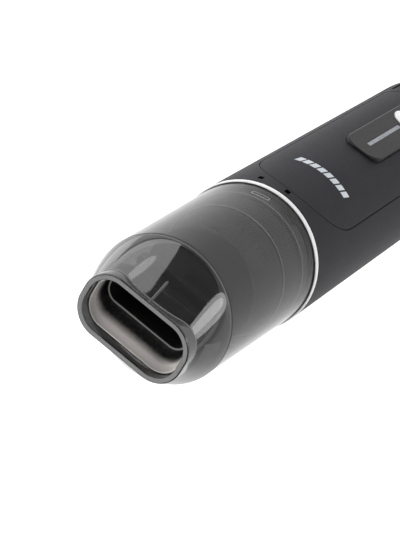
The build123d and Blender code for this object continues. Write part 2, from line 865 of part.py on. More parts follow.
def flap_ear(side):
    """A lug beside the duct's rear end that holds one end of the flap's pin."""
    outer = slot_half_width
    x = sorted((side * outer, side * (outer - flap_ear_length)))
    ear = bar_x(flap_barrel_radius, flap_axis_y, flap_axis_z, x)
    top = duct_low + flap_ear_height
    wall = slot_place - slot_half_height - slot_wall / 2
    ear += block(x, (flap_axis_y - flap_barrel_radius, wall), (duct_low, top))
    ear += block(x, (flap_axis_y - flap_barrel_radius, flap_axis_y + flap_barrel_radius), (flap_axis_z, top))
    return ear - bar_x(flap_pin_radius, flap_axis_y, flap_axis_z, (x[0] - 1, x[1] + 1))


def flap_span():
    reach = slot_half_width - flap_ear_length - run_gap
    return (-reach, reach)


def inlet_flap():
    """A stiff rubber plate below the duct's end, with a hinge barrel between the ears."""
    top = duct_low - slip_gap
    low = top - flap_thickness
    plate = slot_prism(flap_overlap, low, top)
    centre = (flap_axis_y, flap_axis_z)
    barrel = bar_x(flap_barrel_radius, *centre, flap_span())
    web = block(flap_span(), (flap_axis_y, slot_place - slot_half_height + flap_web_reach), (low, top))
    clear = flap_barrel_radius + run_gap
    for side in (-1, 1):
        x = sorted((side * (slot_half_width + 1), side * (flap_span()[1])))
        plate -= bar_x(clear, *centre, x)
    return plate + web + barrel - bar_x(flap_pin_radius + pin_gap, *centre, (-body_radius, body_radius))


def flap_pin():
    return bar_x(flap_pin_radius, flap_axis_y, flap_axis_z, (-slot_half_width, slot_half_width))


# --- Filter ----------------------------------------------------------------
def filter_seal():
    return tube(flange_radius, fan_inlet_radius + 2 * inlet_step, collar_floor_top, filter_low)


def filter_frame():
    """A flange in the spigot, a band above it, and posts that carry the front cap."""
    frame = tube(flange_radius, filter_bore, filter_low, filter_low + filter_flange_height)
    sleeve_inner = flange_radius - filter_wall
    frame += tube(flange_radius, sleeve_inner, filter_low, filter_step + filter_ledge)
    frame += tube(filter_band_radius, sleeve_inner, filter_step, filter_band_top)
    ledge = filter_band_top - filter_ledge
    frame += tube(filter_band_radius - screen_step, core_radius + slip_gap, ledge, filter_band_top)
    inner = pleat_outer + slip_gap
    post = block((inner, inner + post_depth), (-post_width / 2, post_width / 2), (ledge, filter_top_z))
    for piece in around(post, post_count, 45):
        frame += piece
    return frame


def filter_core():
    """The tube inside the pleats, with a ring of windows that lets the air through to the fan."""
    core = tube(core_radius, filter_bore, filter_low + filter_flange_height, filter_top_z)
    low = filter_band_top + core_window_margin
    high = filter_top_z - core_window_margin
    half = core_window_width / 2
    window = block((0, 2 * core_radius), (-half, half), (low, high))
    for piece in around(window, core_window_count):
        core -= piece
    return core


def screen_radius(z):
    """Outer radius of the screen's straight taper at height z."""
    share = (z - filter_band_top) / (filter_top_z - filter_band_top)
    low_radius = filter_band_radius - screen_step
    return low_radius + (filter_top_radius - low_radius) * share


def filter_screen():
    low, high = filter_band_top, filter_top_z
    outer = cone(screen_radius(low), screen_radius(high), low, high)
    inner = cone(screen_radius(low) - screen_wall, screen_radius(high) - screen_wall, low, high)
    return outer - inner


def filter_media():
    """A ring of upright pleats."""
    points = []
    for i in range(2 * pleat_count):
        radius = pleat_outer if i % 2 == 0 else pleat_inner + pleat_root
        angle = pi * i / pleat_count
        points.append((radius * cos(angle), radius * sin(angle)))
    star = Polygon(*points, align=None) - Circle(pleat_inner)
    return Pos(0, 0, filter_band_top) * extrude(star, filter_top_z - filter_band_top)


def filter_cap():
    """A round cap over the pleats, with a tab to pull."""
    disc = rod(filter_top_radius, filter_top_z, filter_top_z + cap_thickness)
    disc = fillet(disc.faces().sort_by(Axis.Z)[-1].edges(), cap_thickness / 2)
    top = filter_top_z + cap_thickness
    y = (-tab_thickness / 2, tab_thickness / 2)
    tab = block((-tab_width / 2, tab_width / 2), y, (top - 0.5, top + tab_height))
    return disc + fillet(tab.edges().filter_by(Axis.Y), tab_height / 3)


for make in (body_shell, lock_marks, top_cover, control_pad, light_strip, power_button,
             switch_plunger, tact_switch, control_board, board_screws, status_leds,
             rear_cap, exhaust_foam, cap_screws, base_pad, front_collar, collar_seal,
             fan_housing, motor_mount, motor_can, motor_shaft, impeller, battery_cells,
             battery_holder, cell_tabs, main_board, charge_port, trim_ring, dust_cup,
             seam_seal, nozzle, inlet_duct, inlet_flap, flap_pin, filter_seal,
             filter_frame, filter_core, filter_screen, filter_media, filter_cap):
    parts[make.__name__] = make()

os.makedirs("parts", exist_ok=True)
for name, shape in parts.items():
    export_step(shape, f"parts/{name}.step")
    print(name, round(shape.volume))
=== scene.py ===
"""Cordless handheld vacuum, standing on its flat rear end: finishes, fine pieces and studio."""

import bpy
import numpy as np
from mathutils import Matrix, Vector


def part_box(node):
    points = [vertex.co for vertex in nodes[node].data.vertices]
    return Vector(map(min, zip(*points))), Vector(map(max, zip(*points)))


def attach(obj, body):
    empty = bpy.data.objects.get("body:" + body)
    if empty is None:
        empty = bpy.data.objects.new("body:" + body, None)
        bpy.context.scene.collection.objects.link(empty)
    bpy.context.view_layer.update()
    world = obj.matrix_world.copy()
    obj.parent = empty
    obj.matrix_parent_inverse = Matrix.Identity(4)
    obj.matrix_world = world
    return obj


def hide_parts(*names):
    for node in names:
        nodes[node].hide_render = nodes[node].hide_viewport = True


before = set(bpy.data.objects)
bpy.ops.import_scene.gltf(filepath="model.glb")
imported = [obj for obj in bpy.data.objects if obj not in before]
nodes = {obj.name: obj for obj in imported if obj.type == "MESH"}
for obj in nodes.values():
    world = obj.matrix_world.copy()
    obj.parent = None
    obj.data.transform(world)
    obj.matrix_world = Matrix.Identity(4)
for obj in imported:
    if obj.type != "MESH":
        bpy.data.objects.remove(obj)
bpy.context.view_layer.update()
MM = 0.001


# --- Camera ----------------------------------------------------------------
CAMERA_RIGHT = (-0.772, -0.443, -0.456)
CAMERA_BACK = (-0.215, -0.493, 0.843)
CAMERA_PLACE = (-0.1985, -0.4668, 1.0578)
CAMERA_TURN = 1.3            # degrees about the vacuum's axis
CAMERA_LENS = 139.6


def add_camera():
    """A long lens looking down on the mouth and the controls; its axes are made square by Gram-Schmidt."""
    back = np.array(CAMERA_BACK) / np.linalg.norm(CAMERA_BACK)
    right = np.array(CAMERA_RIGHT) - np.dot(CAMERA_RIGHT, back) * back
    right /= np.linalg.norm(right)
    turn = Matrix(np.stack((right, np.cross(back, right), back), axis=1).tolist()).to_4x4()
    lens = bpy.data.cameras.new("camera")
    lens.lens = CAMERA_LENS
    lens.sensor_width = 36.0
    lens.clip_start = 0.01
    lens.clip_end = 50.0
    camera = bpy.data.objects.new("camera", lens)
    about_axis = Matrix.Rotation(np.radians(CAMERA_TURN), 4, "Z")
    camera.matrix_world = about_axis @ Matrix.Translation(CAMERA_PLACE) @ turn
    bpy.context.collection.objects.link(camera)
    bpy.context.scene.camera = camera


add_camera()


# --- Node helpers ----------------------------------------------------------
# Sockets of a colour Mix node, which share their names with its number and vector sockets.
MIX_FIRST, MIX_SECOND, MIXED_COLOUR = 6, 7, 2


class Finish:
    """A material being made: its Principled shader, with short ways to add and link nodes."""

    def __init__(self, name, colour, roughness, **sockets):
        self.name = name
        self.material = bpy.data.materials.new(name)
        self.material.use_nodes = True
        self.tree = self.material.node_tree
        self.shader = self.tree.nodes["Principled BSDF"]
        self.shader.inputs["Base Color"].default_value = (*colour, 1.0)
        self.shader.inputs["Roughness"].default_value = roughness
        for socket, value in sockets.items():
            self.shader.inputs[socket.replace("_", " ")].default_value = value
        self.place = self.add("ShaderNodeTexCoord").outputs["Object"]

    def add(self, kind, **values):
        node = self.tree.nodes.new(kind)
        for name, value in values.items():
            if hasattr(node, name):
                setattr(node, name, value)
            else:
                node.inputs[name.replace("_", " ")].default_value = value
        return node

    def link(self, out, into):
        self.tree.links.new(out, into)

    def stretched(self, x, y, z):
        """Object coordinates scaled along each axis, so that a pattern runs one way."""
        mapping = self.add("ShaderNodeMapping")
        mapping.inputs["Scale"].default_value = (x, y, z)
        self.link(self.place, mapping.inputs["Vector"])
        return mapping.outputs["Vector"]

    def noise(self, scale, detail=2.0, place=None):
        node = self.add("ShaderNodeTexNoise", Scale=scale, Detail=detail)
        self.link(place or self.place, node.inputs["Vector"])
        return node.outputs["Fac"]

    def spread(self, value, low, high, start=0.3, end=0.7):
        """The value's range from start to end carried to the range from low to high."""
        node = self.add("ShaderNodeMapRange")
        limits = {"From Min": start, "From Max": end, "To Min": low, "To Max": high}
        for name, number in limits.items():
            node.inputs[name].default_value = number
        self.link(value, node.inputs["Value"])
        return node.outputs["Result"]

    def mottle(self, value, dark, light):
        """Base colour between two tones as the value goes from its low to its high."""
        node = self.add("ShaderNodeMix", data_type="RGBA")
        self.link(self.spread(value, 0.0, 1.0), node.inputs["Factor"])
        node.inputs[MIX_FIRST].default_value = (*dark, 1.0)
        node.inputs[MIX_SECOND].default_value = (*light, 1.0)
        self.link(node.outputs[MIXED_COLOUR], self.shader.inputs["Base Color"])

    def rough(self, value, low, high):
        self.link(self.spread(value, low, high), self.shader.inputs["Roughness"])

    def bump(self, value, depth):
        """Relief of that depth in metres."""
        node = self.add("ShaderNodeBump", Distance=depth, Strength=1.0)
        self.link(value, node.inputs["Height"])
        self.link(node.outputs["Normal"], self.shader.inputs["Normal"])


def grey(value, violet=0.0):
    """A neutral tone, or one with a little more blue than green."""
    return (value * (1 + 0.3 * violet), value, value * (1 + violet))


def scaled(colour, share):
    return tuple(min(1.0, c * share) for c in colour)


def moulded(name, colour, roughness, grain=1500.0, depth=0.00001, tone=0.12, **sockets):
    """Moulded plastic: a fine spark-eroded grain, and a slow drift of tone."""
    made = Finish(name, colour, roughness, **sockets)
    fine = made.noise(grain, 3.0)
    slow = made.noise(60.0, 2.0)
    made.mottle(slow, scaled(colour, 1 - tone), scaled(colour, 1 + tone))
    made.rough(fine, max(0.02, roughness - 0.06), roughness + 0.06)
    made.bump(fine, depth)
    return made


def brushed(name, colour, roughness, along, **sockets):
    """Metal drawn or turned along one axis: its fine scratches run that way."""
    made = Finish(name, colour, roughness, Metallic=1.0, **sockets)
    scratch = made.noise(1.0, 4.0, made.stretched(*along))
    made.mottle(scratch, scaled(colour, 0.8), scaled(colour, 1.12))
    made.rough(scratch, roughness - 0.08, roughness + 0.12)
    made.bump(scratch, 0.000006)
    return made


def fibrous(name, colour, depth):
    """Pressed paper or open foam: small cells, with painted shade darkening their hollows."""
    made = Finish(name, colour, 0.9, Specular_IOR_Level=0.2)
    cell = made.add("ShaderNodeTexVoronoi", Scale=900.0, Randomness=1.0)
    made.link(made.place, cell.inputs["Vector"])
    made.mottle(cell.outputs["Distance"], scaled(colour, 0.6), scaled(colour, 1.2))
    made.bump(cell.outputs["Distance"], depth)
    return made


def laminate(name, mask, track, roughness):
    """A lacquered board: tracks show through the mask as slightly lighter square-cornered runs."""
    made = Finish(name, mask, roughness)
    run = made.add("ShaderNodeTexVoronoi", distance="CHEBYCHEV", Scale=260.0, Randomness=0.35)
    made.link(made.place, run.inputs["Vector"])
    made.mottle(run.outputs["Distance"], track, mask)
    made.bump(run.outputs["Distance"], 0.00003)
    return made


def smoked(name, colour, roughness, face_on, edge_on, start=0.15, **sockets):
    """Tinted clear plastic with faint flow marks: see-through face on, filling in towards its edges."""
    made = Finish(name, colour, roughness, **sockets)
    flow = made.noise(1.0, 2.0, made.stretched(90.0, 90.0, 14.0))
    made.mottle(flow, scaled(colour, 0.85), scaled(colour, 1.15))
    made.rough(flow, roughness - 0.015, roughness + 0.02)
    made.bump(flow, 0.00002)
    facing = made.add("ShaderNodeLayerWeight", Blend=0.5).outputs["Facing"]
    made.link(made.spread(facing, face_on, edge_on, start, 0.97), made.shader.inputs["Alpha"])
    return made


def shade_painted_satin(name, dark, light, roughness):
    """Satin plastic with painted shade: dark where the piece's own tone attribute is low, light where it is
    high, with a little grain.
    """
    made = Finish(name, light, roughness)
    tone = made.add("ShaderNodeAttribute", attribute_name="tone").outputs["Fac"]
    grain = made.noise(700.0, 2.0)
    # grain jitter added to the painted shade carried by the tone attribute
    grain_and_shade = made.add("ShaderNodeMath", operation="MULTIPLY_ADD")
    made.link(made.spread(grain, -0.05, 0.05), grain_and_shade.inputs[0])
    grain_and_shade.inputs[1].default_value = 1.0
    made.link(tone, grain_and_shade.inputs[2])
    mix = made.add("ShaderNodeMix", data_type="RGBA")
    made.link(grain_and_shade.outputs[0], mix.inputs["Factor"])
    mix.inputs[MIX_FIRST].default_value = (*dark, 1.0)
    mix.inputs[MIX_SECOND].default_value = (*light, 1.0)
    made.link(mix.outputs[MIXED_COLOUR], made.shader.inputs["Base Color"])
    made.rough(grain, roughness - 0.05, roughness + 0.05)
    return made


FINISHES = [
    moulded("body_plastic", grey(0.0115, 0.3), 0.55, 2600.0, 0.00004, Specular_IOR_Level=0.1),
    moulded("pad_plastic", grey(0.0095, 0.15), 0.4, 2000.0, 0.00002, Specular_IOR_Level=0.13),
    moulded("light_guide", (0.19, 0.205, 0.23), 0.3, grain=900.0),
    moulded("button_white", grey(0.8), 0.3),
    moulded("mark_ink", grey(0.001), 0.6, Specular_IOR_Level=0.0),
    moulded("trim_silver", grey(0.70), 0.28, grain=1800.0, tone=0.03),
    smoked("smoke_clear", grey(0.012, 0.3), 0.14, 0.42, 1.0, start=0.5),
    smoked("smoke_nozzle", grey(0.008), 0.05, 0.76, 1.0, start=0.3, Specular_IOR_Level=0.7, IOR=1.6),
    smoked("smoke_inner", grey(0.02), 0.1, 0.06, 0.5),
    # painted highlight: pale grey bands at the nozzle's seam, along its crease and over its rim face stand in
    # for light on those edges
    moulded("rim_frost", grey(0.115), 0.3),
    moulded("rib_edge", grey(0.05), 0.15),
    # painted shade: the ramp goes from warm grey to near black towards the trough and the slot
    shade_painted_satin("duct_ramp", (0.006, 0.006, 0.006), (0.42, 0.39, 0.37), 0.34),
    # painted highlight: the insert's near-white front edge stands in for light along its rim
    moulded("duct_edge", (0.85, 0.84, 0.82), 0.25),
    moulded("duct_lip", (0.13, 0.125, 0.12), 0.3),
    # painted shade: near black for the slot's bore, where only shade falls inside the insert
    moulded("duct_dark", grey(0.02), 0.4),
    moulded("print_white", (0.50, 0.54, 0.57), 0.45),
    # painted highlight: a near-white finish for thin beads on edges seen through the cup
    moulded("pale_edge", grey(0.75), 0.3, grain=900.0),
    moulded("duct_grey", (0.27, 0.25, 0.235), 0.38),
    moulded("seal_rubber", grey(0.004), 0.6, depth=0.00002),
    moulded("flap_rubber", grey(0.02), 0.6, depth=0.00002),
    moulded("inner_plastic", grey(0.03), 0.45, 900.0, 0.0, tone=0.05),
    moulded("filter_plastic", grey(0.06), 0.42, 900.0, 0.0, tone=0.05),
    moulded("filter_mesh", grey(0.25), 0.4, 400.0, 0.0, Metallic=0.7),
    fibrous("filter_paper", (0.62, 0.61, 0.58), 0.00004),
    brushed("motor_steel", grey(0.52), 0.3, (300.0, 300.0, 4000.0)),
    brushed("shaft_steel", grey(0.62), 0.2, (400.0, 400.0, 5000.0)),
    moulded("fan_plastic", grey(0.2), 0.4),
    moulded("cell_wrap", (0.02, 0.16, 0.12), 0.3),
    brushed("nickel", (0.62, 0.6, 0.56), 0.25, (2500.0, 300.0, 300.0)),
    laminate("board_green", (0.008, 0.07, 0.025), (0.02, 0.13, 0.05), 0.3),
    brushed("switch_metal", grey(0.55), 0.35, (2500.0, 2500.0, 300.0)),
    moulded("lamp_white", grey(0.8), 0.3),
    fibrous("foam_black", grey(0.012), 0.0003),
    moulded("foot_rubber", grey(0.015), 0.7, depth=0.00003),
    brushed("screw_steel", grey(0.4), 0.3, (2000.0, 2000.0, 400.0)),
]
slots = {made.name: made.material for made in FINISHES}

for node in nodes.values():
    for place in node.material_slots:
        name = place.material.name.split(".")[0]
        found = [s for s in slots if name == s or name.endswith(s)]
        if found:
            place.material = slots[found[0]]
        else:
            print("no finish for", node.name, name)


# --- Sizes shared with the frame, in millimetres ---------------------------
def box(node):
    """A node's lowest and highest corner."""
    return [np.array(corner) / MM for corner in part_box(node)]


BODY_RADIUS = box("body_shell")[1][0]
JOINT_Z = box("body_shell")[1][2] + 0.8     # where the cup meets the body's ring
MOUTH_Z = box("nozzle")[1][2]
SEAM_Z = box("dust_cup")[1][2] + 1.0        # where the dome begins
SEAM_RADIUS = box("nozzle")[1][0]

# nozzle
NOZZLE_LENGTH = MOUTH_Z - SEAM_Z
MOUTH_HALF = (27.6, 15.7)
MOUTH_CORNER = 13.4
MOUTH_OFFSET = 0.9           # mouth's middle, away from the controls
DOME_POWER = 1.25
DOME_SIDE_INSET = 2.4
DOME_BACK_HOLLOW = 1.0
DOME_DROP = 22.5             # height in which the dome would come in to the mouth
NECK_LENGTH = 15.0
RIM_WALL = 2.7
RIM_ROUND = 0.7              # outer edge of the rim
BORE_ROUND = 0.3             # inner edge of the rim
NOZZLE_WALL = 1.8
TONGUE_RADII = (31.0, 32.3)  # the ring that reaches into the cup
TONGUE_LENGTH = 4.0
TONGUE_BEVEL = 0.2
DOME_START = 0.95            # end of the painted highlight band beside the seam
CREASE_BAND = 0.28           # half height of the crease's painted highlight band
KEY_RIB_LENGTH = 10.0
KEY_RIB_HALF = 0.62
KEY_RIB_RISE = 0.42

# insert in the mouth
DUCT_SETBACK = 5.0
DUCT_BACK = 15.0
DUCT_LENGTH = 28.0
DUCT_EDGE = 0.4              # height of the front edge's bevel
RAMP_ROWS = 33
RAMP_DROP = 2.6              # even fall of the ramp
TROUGH_DROP = 5.4            # further fall at its bend
RAMP_BEND = 0.62             # the bend's share of the way to the slot
RAMP_SPREAD = 0.08
SHADE_END = 0.58              # share of the way at which painted shade has made the ramp dark
SHADE_SPREAD = 0.28
SLOT_HALF = (20.8, 5.7)
SLOT_MIDDLE = -4.2
SLOT_WALL = 1.2
SLOT_LIP = 10.0
SLIP_GAP = 0.2

# inside the cup
SPIGOT_RADIUS = 33.0
SPIGOT_LENGTH = 10.7
BAND_RADIUS = 31.0
LUG_SPAN = 8.8
LUG_HEIGHT = 2.6
LUG_RISE = 5.6
LUG_ANGLE = 14.0
LUG_RADIUS = 33.3
SCREEN_WIRE = 0.17
SCREEN_STRANDS = 120
SCREEN_STEPS = 26
SCREEN_TURN = 1.5            # radians that a strand winds round
SCREEN_TAPER = 3.4

# printed bars
BAR_STARTS = (-16.6, -12.6, -8.6, -4.6, -0.6, 3.4, 7.4, 11.4)
BAR_WIDTH = 3.1
BAR_SLANT = 1.2
BAR_DROPS = (47.4, 42.2)     # lower and upper edge, below the joint


# --- Mesh helpers ----------------------------------------------------------
def put_mesh(name, points, faces, materials, face_materials=None, sharp=30.0, tone=None):
    """A mesh object from arrays in millimetres; a shell that is inside out has its faces turned."""
    points = np.asarray(points, float).reshape(-1, 3) * MM
    faces = np.asarray(faces, int)
    corners = points[faces]
    volume = np.einsum("ij,ij->", corners[:, 0], np.cross(corners[:, 1], corners[:, 2]))
    volume += np.einsum("ij,ij->", corners[:, 0], np.cross(corners[:, 2], corners[:, -1]))
    if volume < 0:
        faces = faces[:, ::-1]
    mesh = bpy.data.meshes.new(name)
    count, sides = faces.shape
    mesh.vertices.add(len(points))
    mesh.vertices.foreach_set("co", points.ravel().astype(np.float32))
    mesh.loops.add(count * sides)
    mesh.loops.foreach_set("vertex_index", faces.ravel().astype(np.int32))
    mesh.polygons.add(count)
    mesh.polygons.foreach_set("loop_start", np.arange(0, count * sides, sides, dtype=np.int32))
    for finish in materials:
        mesh.materials.append(slots[finish])
    if face_materials is not None:
        mesh.polygons.foreach_set("material_index", np.asarray(face_materials, np.int32))
    if tone is not None:
        attribute = mesh.attributes.new("tone", "FLOAT", "POINT")
        attribute.data.foreach_set("value", np.asarray(tone, np.float32))
    mesh.update(calc_edges=True)
    mesh.validate()
    mesh.shade_smooth()
    mesh.set_sharp_from_angle(angle=np.radians(sharp))
    piece = bpy.data.objects.new(name, mesh)
    bpy.context.collection.objects.link(piece)
    return piece


def ring_faces(rows, columns, closed=True):
    """Quads between neighbouring rows of a grid closed round its columns and, if closed, over its rows."""
    row = np.arange(rows if closed else rows - 1)[:, None]
    column = np.arange(columns)[None, :]
    after = (row + 1) % rows
    beside = (column + 1) % columns
    here, there = row * columns, after * columns
    quads = (here + column, here + beside, there + beside, there + column)
    return np.stack(quads, axis=-1).reshape(-1, 4)


def round_axis(radius, angle, height):
    """Points x = r cos a, y = r sin a at the given heights."""
    return np.stack((radius * np.cos(angle), radius * np.sin(angle), height), axis=-1)


def rounded_outline(half_width, half_height, corner, middle=0.0, arc=24, run=16):
    """Rounded rectangle about (0, middle): four corner arcs, with straight runs in equal parts between."""
    quarter = np.linspace(0, np.pi / 2, arc + 1)[None, :] + np.arange(4)[:, None] * np.pi / 2
    side_x = np.array([1, -1, -1, 1])[:, None] * (half_width - corner)
    side_y = np.array([1, 1, -1, -1])[:, None] * (half_height - corner)
    arcs = np.stack((side_x + corner * np.cos(quarter), side_y + corner * np.sin(quarter)), axis=-1)
    share = (np.arange(1, run) / run)[None, :, None]
    runs = arcs[:, -1:] * (1 - share) + np.roll(arcs, -1, axis=0)[:, :1] * share
    outline = np.concatenate((arcs, runs), axis=1).reshape(-1, 2)
    return outline + (0.0, middle)


def mixed(first, second, share):
    return first * (1 - share) + second * share


# --- Nozzle ----------------------------------------------------------------
# the second finish is a painted highlight: pale bands at the seam, along the crease and over the rim's flat
# face
NOZZLE_FINISHES = ["smoke_nozzle", "rim_frost", "smoke_inner", "seal_rubber"]
OUTER, HIGHLIGHT, INNER, DARK = range(4)
NOZZLE_COLUMNS = 400
ANGLES = np.arange(NOZZLE_COLUMNS) * 2 * np.pi / NOZZLE_COLUMNS


def mouth_radius(inset):
    """Distance from the axis to the mouth's rounded rectangle, drawn in by inset, at every column's angle."""
    half = (MOUTH_HALF[0] - inset, MOUTH_HALF[1] - inset)
    outline = rounded_outline(*half, MOUTH_CORNER - inset, MOUTH_OFFSET, 200, 200)
    angle = np.arctan2(outline[:, 1], outline[:, 0])
    order = np.argsort(angle)
    return np.interp(ANGLES, angle[order], np.hypot(*outline[order].T), period=2 * np.pi)


def dome_radius(z, shrink):
    """Distance from the axis to the dome's oval at height z, at every column's angle.

    The oval's half width w and half height h fall from the seam's radius with the height to the power
    DOME_POWER, and its middle m drifts to the mouth's with the square of the height. A parabola in the
    height draws in the side away from the controls. The distance r at the angle a solves
    (r cos a / w)^2 + ((r sin a - m) / h)^2 = 1.
    """
    height = np.clip(z - SEAM_Z, 0, None)
    side_drop = SEAM_RADIUS - MOUTH_HALF[0] + DOME_SIDE_INSET
    face_drop = SEAM_RADIUS - MOUTH_HALF[1]
    share = height / NOZZLE_LENGTH
    hollow = 2 * DOME_BACK_HOLLOW * share * (1 - share)
    w = SEAM_RADIUS - side_drop * share ** DOME_POWER - shrink
    h = SEAM_RADIUS - face_drop * (height / DOME_DROP) ** DOME_POWER - shrink - hollow
    m = MOUTH_OFFSET * share ** 2 - hollow
    a = np.cos(ANGLES) ** 2 / w ** 2 + np.sin(ANGLES) ** 2 / h ** 2
    b = -2 * m * np.sin(ANGLES) / h ** 2
    c = m ** 2 / h ** 2 - 1
    return (-b + np.sqrt(b * b - 4 * a * c)) / (2 * a)


def crease_height(neck, shrink):
    """Height at which the dome has come in to the neck, at every column, found by halving the interval."""
    low = np.full(NOZZLE_COLUMNS, SEAM_Z)
    high = np.full(NOZZLE_COLUMNS, MOUTH_Z)
    for _ in range(40):
        middle = (low + high) / 2
        outside = dome_radius(middle, shrink) > neck
        low = np.where(outside, middle, low)
        high = np.where(outside, high, middle)
    return (low + high) / 2


def nozzle_rows():
    """Radius, height and finish of each row round the closed shell.

    The rows go from the tongue up the outside, over the rim and down the inside. A row's finish is that of
    the faces between it and the next.
    """
    rows = []

    def add(radius, z, kind=OUTER):
        ones = np.ones(NOZZLE_COLUMNS)
        rows.append((radius * ones, z * ones, kind))

    def add_dome(z, shrink=0.0, kind=OUTER):
        add(dome_radius(z, shrink), z, kind)

    tongue_inner, tongue_outer = TONGUE_RADII
    tongue_end = SEAM_Z - TONGUE_LENGTH
    neck = mouth_radius(0)
    crease = crease_height(neck, 0)
    add(tongue_inner + TONGUE_BEVEL, tongue_end)
    add(tongue_outer - TONGUE_BEVEL, tongue_end)
    add(tongue_outer, tongue_end + TONGUE_BEVEL)
    add(tongue_outer, SEAM_Z)
    add(SEAM_RADIUS - 0.25, SEAM_Z)
    add(SEAM_RADIUS - 0.05, SEAM_Z + 0.1, DARK)
    # painted highlight band beside the seam
    add_dome(SEAM_Z + 0.5, kind=HIGHLIGHT)
    add_dome(SEAM_Z + DOME_START)
    for share in np.linspace(0.03, 1, 43)[:-1]:
        add_dome(mixed(SEAM_Z + DOME_START, crease, share))
    # painted highlight band along the crease
    add_dome(crease - CREASE_BAND, kind=HIGHLIGHT)
    add(neck + 0.12, crease, HIGHLIGHT)
    add(neck, crease + CREASE_BAND)
    for share in np.linspace(0.06, 1, 8):
        add(neck, mixed(crease + CREASE_BAND, MOUTH_Z - RIM_ROUND, share))
    for turn in np.linspace(0, np.pi / 2, 6)[1:]:
        add(mouth_radius(RIM_ROUND * (1 - np.cos(turn))), MOUTH_Z - RIM_ROUND * (1 - np.sin(turn)))
    # the rim's flat face in the painted highlight
    add(mouth_radius(RIM_ROUND + 0.05), MOUTH_Z, HIGHLIGHT)
    add(mouth_radius(RIM_WALL - BORE_ROUND - 0.05), MOUTH_Z, HIGHLIGHT)
    for turn in np.linspace(0, np.pi / 2, 5)[1:]:
        add(mouth_radius(RIM_WALL - BORE_ROUND * (1 - np.sin(turn))), MOUTH_Z - BORE_ROUND * (1 - np.cos(turn)))
    for share in np.linspace(0, 1, 7)[1:]:
        add(mouth_radius(RIM_WALL), mixed(MOUTH_Z - BORE_ROUND, MOUTH_Z - NECK_LENGTH, share))
    add(neck, MOUTH_Z - NECK_LENGTH)
    inner_crease = crease_height(neck, NOZZLE_WALL)
    for share in np.linspace(0, 1, 8)[1:]:
        add(neck, mixed(MOUTH_Z - NECK_LENGTH, inner_crease, share), INNER)
    for share in np.linspace(1, 0, 30)[1:]:
        add_dome(mixed(SEAM_Z + 1.5, inner_crease, share), NOZZLE_WALL, INNER)
    add(tongue_inner, SEAM_Z + 1.0)
    add(tongue_inner, tongue_end + TONGUE_BEVEL)
    return rows


def add_nozzle():
    """The nozzle's rows carried round the axis."""
    radius, height, kinds = (np.array(column) for column in zip(*nozzle_rows()))
    faces = ring_faces(len(kinds), NOZZLE_COLUMNS)
    face_kinds = np.repeat(kinds, NOZZLE_COLUMNS)
    points = round_axis(radius, ANGLES, height)
    piece = put_mesh("nozzle_shell", points, faces, NOZZLE_FINISHES, face_kinds, 35.0)
    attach(piece, "cup")
    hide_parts("nozzle")


def add_ring(name, profile, finish, body, columns=240):
    """A closed profile of (radius, height) pairs carried round the axis."""
    profile = np.asarray(profile, float)
    angle = np.arange(columns) * 2 * np.pi / columns
    points = round_axis(profile[:, :1], angle, np.repeat(profile[:, 1:], columns, axis=1))
    piece = put_mesh(name, points, ring_faces(len(profile), columns), [finish])
    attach(piece, body)
    return piece


def bead_profile(radius, height, half, count=10):
    """A small circle about a point of the (radius, height) plane."""
    turn = np.arange(count) * 2 * np.pi / count
    return np.stack((radius + half * np.cos(turn), height + half * np.sin(turn)), axis=-1)


def add_loop(name, path, half, finish, body, sides=6):
    """Thin beads along closed paths of points (paths, steps, 3).

    The section is a regular polygon across the path, in the plane of its outward and its crosswise way.
    """
    path = np.asarray(path, float)
    ahead = np.roll(path, -1, axis=1) - np.roll(path, 1, axis=1)
    ahead /= np.linalg.norm(ahead, axis=2, keepdims=True)
    out = path * (1.0, 1.0, 0.0)
    out /= np.linalg.norm(out, axis=2, keepdims=True)
    across = np.cross(ahead, out)
    turn = np.arange(sides) * 2 * np.pi / sides
    section = out[..., None, :] * np.cos(turn)[:, None] + across[..., None, :] * np.sin(turn)[:, None]
    points = path[:, :, None] + half * section
    count = path.shape[1] * sides
    faces = ring_faces(path.shape[1], sides)[None] + np.arange(len(path))[:, None, None] * count
    piece = put_mesh(name, points, faces.reshape(-1, 4), [finish], sharp=60.0)
    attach(piece, body)
    return piece


def add_lug_edges():
    """A bead round each of the cup's three lugs, pale as a painted highlight: a rounded rectangle laid on the
    cup's inner wall.
    """
    middle = JOINT_Z + LUG_RISE + LUG_HEIGHT / 2
    outline = rounded_outline(LUG_SPAN / 2, LUG_HEIGHT / 2, 0.8, middle, 6, 12)
    places = np.radians(np.arange(3) * 120.0 + LUG_ANGLE - 90.0)[:, None]
    angle = places + outline[None, :, 0] / LUG_RADIUS
    path = round_axis(LUG_RADIUS, angle, outline[None, :, 1] + 0 * angle)
    piece = add_loop("lug_edges", path, 0.22, "pale_edge", "cup")


def add_key_rib():
    """A half-round bar on the dome's control side, along the dome's outline x = 0.

    Its section is half an ellipse that sinks 0.05 mm into the skin; it flattens and narrows at both ends.
    """
    side = NOZZLE_COLUMNS * 3 // 4
    around = 9
    heights = np.linspace(MOUTH_Z - KEY_RIB_LENGTH, MOUTH_Z - 0.8, 60)
    neck = mouth_radius(0)[side]
    skin = np.array([max(dome_radius(z, 0)[side], neck) for z in heights])
    turn = np.linspace(0, np.pi, around)
    grow = np.clip(np.minimum(heights - heights[0], heights[-1] - heights) / 0.8, 0, 1) ** 0.5
    x = KEY_RIB_HALF * np.cos(turn)[None, :] * np.maximum(grow, 0.3)[:, None]
    rise = KEY_RIB_RISE * np.sin(turn)[None, :] * grow[:, None] - 0.05
    rows = np.stack((x, -(skin[:, None] + rise), np.repeat(heights[:, None], around, axis=1)), axis=-1)
    piece = put_mesh("key_rib", *capped(rows), ["rib_edge"], sharp=50.0)
    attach(piece, "cup")


